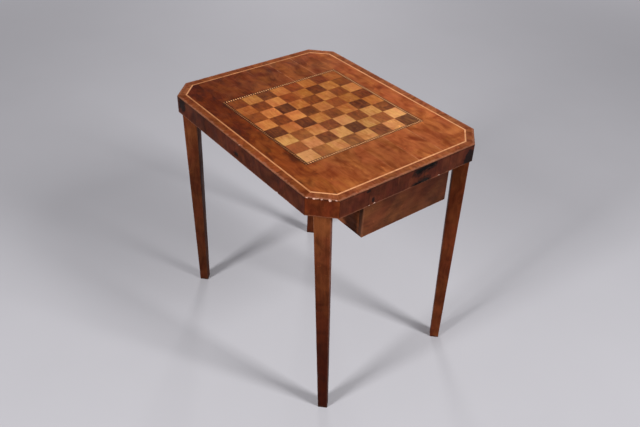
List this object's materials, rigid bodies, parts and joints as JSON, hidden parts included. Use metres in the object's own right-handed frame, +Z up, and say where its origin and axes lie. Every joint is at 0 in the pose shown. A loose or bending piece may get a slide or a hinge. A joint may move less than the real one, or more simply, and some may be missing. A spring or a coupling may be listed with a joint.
{
  "type": "chess table",
  "caption": "Veneered games table with canted corners, tapered legs turned to the corners, an inlaid chessboard with chequered banding, and a shallow drawer hung under one end.",
  "frame": {"origin": "on the floor, under the middle of the table top", "axes": "+Z up; +X along the long side towards the drawer end; +Y across, to the right of someone facing the drawer"},
  "size_m": [0.738, 0.57, 0.735],
  "materials": {
    "field_mahogany": "old shellac polish over mottled mahogany veneer",
    "crossband_mahogany": "old shellac polish over cross-grained mahogany veneer",
    "boxwood_string": "polished boxwood line",
    "light_square_veneer": "polished honey-coloured veneer",
    "dark_square_veneer": "polished brown veneer",
    "pale_banding_wood": "polished pale blocks",
    "dark_banding_wood": "dark stained lines and blocks",
    "frieze_mahogany": "darkened, worn polish over mahogany veneer",
    "leg_mahogany": "worn polish on solid mahogany",
    "drawer_front_mahogany": "worn dull polish",
    "drawer_side_wood": "thin stain, little polish",
    "drawer_lining_wood": "bare wood",
    "carcase_wood": "bare wood, sawn and planed",
    "fastener_steel": "dull old steel"
  },
  "bodies": {
    "table": {"banding_dark_blocks": "dark_banding_wood", "banding_inner_line": "dark_banding_wood", "banding_light_blocks": "pale_banding_wood", "banding_outer_line": "dark_banding_wood", "corner_block_drawer_left": "carcase_wood", "corner_block_drawer_right": "carcase_wood", "corner_block_far_left": "carcase_wood", "corner_block_far_right": "carcase_wood", "corner_veneer_drawer_left": "frieze_mahogany", "corner_veneer_drawer_right": "frieze_mahogany", "corner_veneer_far_left": "frieze_mahogany", "corner_veneer_far_right": "frieze_mahogany", "crossbanding_corners": "crossband_mahogany", "crossbanding_drawer_end": "crossband_mahogany", "crossbanding_far_end": "crossband_mahogany", "crossbanding_left": "crossband_mahogany", "crossbanding_right": "crossband_mahogany", "dark_squares": "dark_square_veneer", "drawer_stops": "carcase_wood", "field_veneer_drawer_end": "field_mahogany", "field_veneer_far_end": "field_mahogany", "field_veneer_left": "field_mahogany", "field_veneer_right": "field_mahogany", "frieze_veneer_drawer_end": "frieze_mahogany", "frieze_veneer_far_end": "frieze_mahogany", "frieze_veneer_left": "frieze_mahogany", "frieze_veneer_right": "frieze_mahogany", "glue_blocks": "carcase_wood", "leg_drawer_left": "leg_mahogany", "leg_drawer_right": "leg_mahogany", "leg_far_left": "leg_mahogany", "leg_far_right": "leg_mahogany", "light_squares": "light_square_veneer", "rail_drawer_end": "carcase_wood", "rail_far_end": "carcase_wood", "rail_left": "carcase_wood", "rail_right": "carcase_wood", "runner_left": "carcase_wood", "runner_right": "carcase_wood", "runner_screws": "fastener_steel", "stringing_corners": "boxwood_string", "stringing_drawer_end": "boxwood_string", "stringing_far_end": "boxwood_string", "stringing_left": "boxwood_string", "stringing_right": "boxwood_string", "top_core": "carcase_wood"},
    "drawer": {"drawer_back": "drawer_lining_wood", "drawer_bottom": "drawer_lining_wood", "drawer_bottom_nails": "fastener_steel", "drawer_cleat_nails": "fastener_steel", "drawer_front": "drawer_front_mahogany", "drawer_left_cleat": "drawer_lining_wood", "drawer_left_side": "drawer_side_wood", "drawer_right_cleat": "drawer_lining_wood", "drawer_right_side": "drawer_side_wood"}
  },
  "joints": [
    {"name": "drawer_slide", "type": "slide", "parent": "table", "child": "drawer", "axis": [1, 0, 0], "range_m": [0, 0.27]}
  ]
}
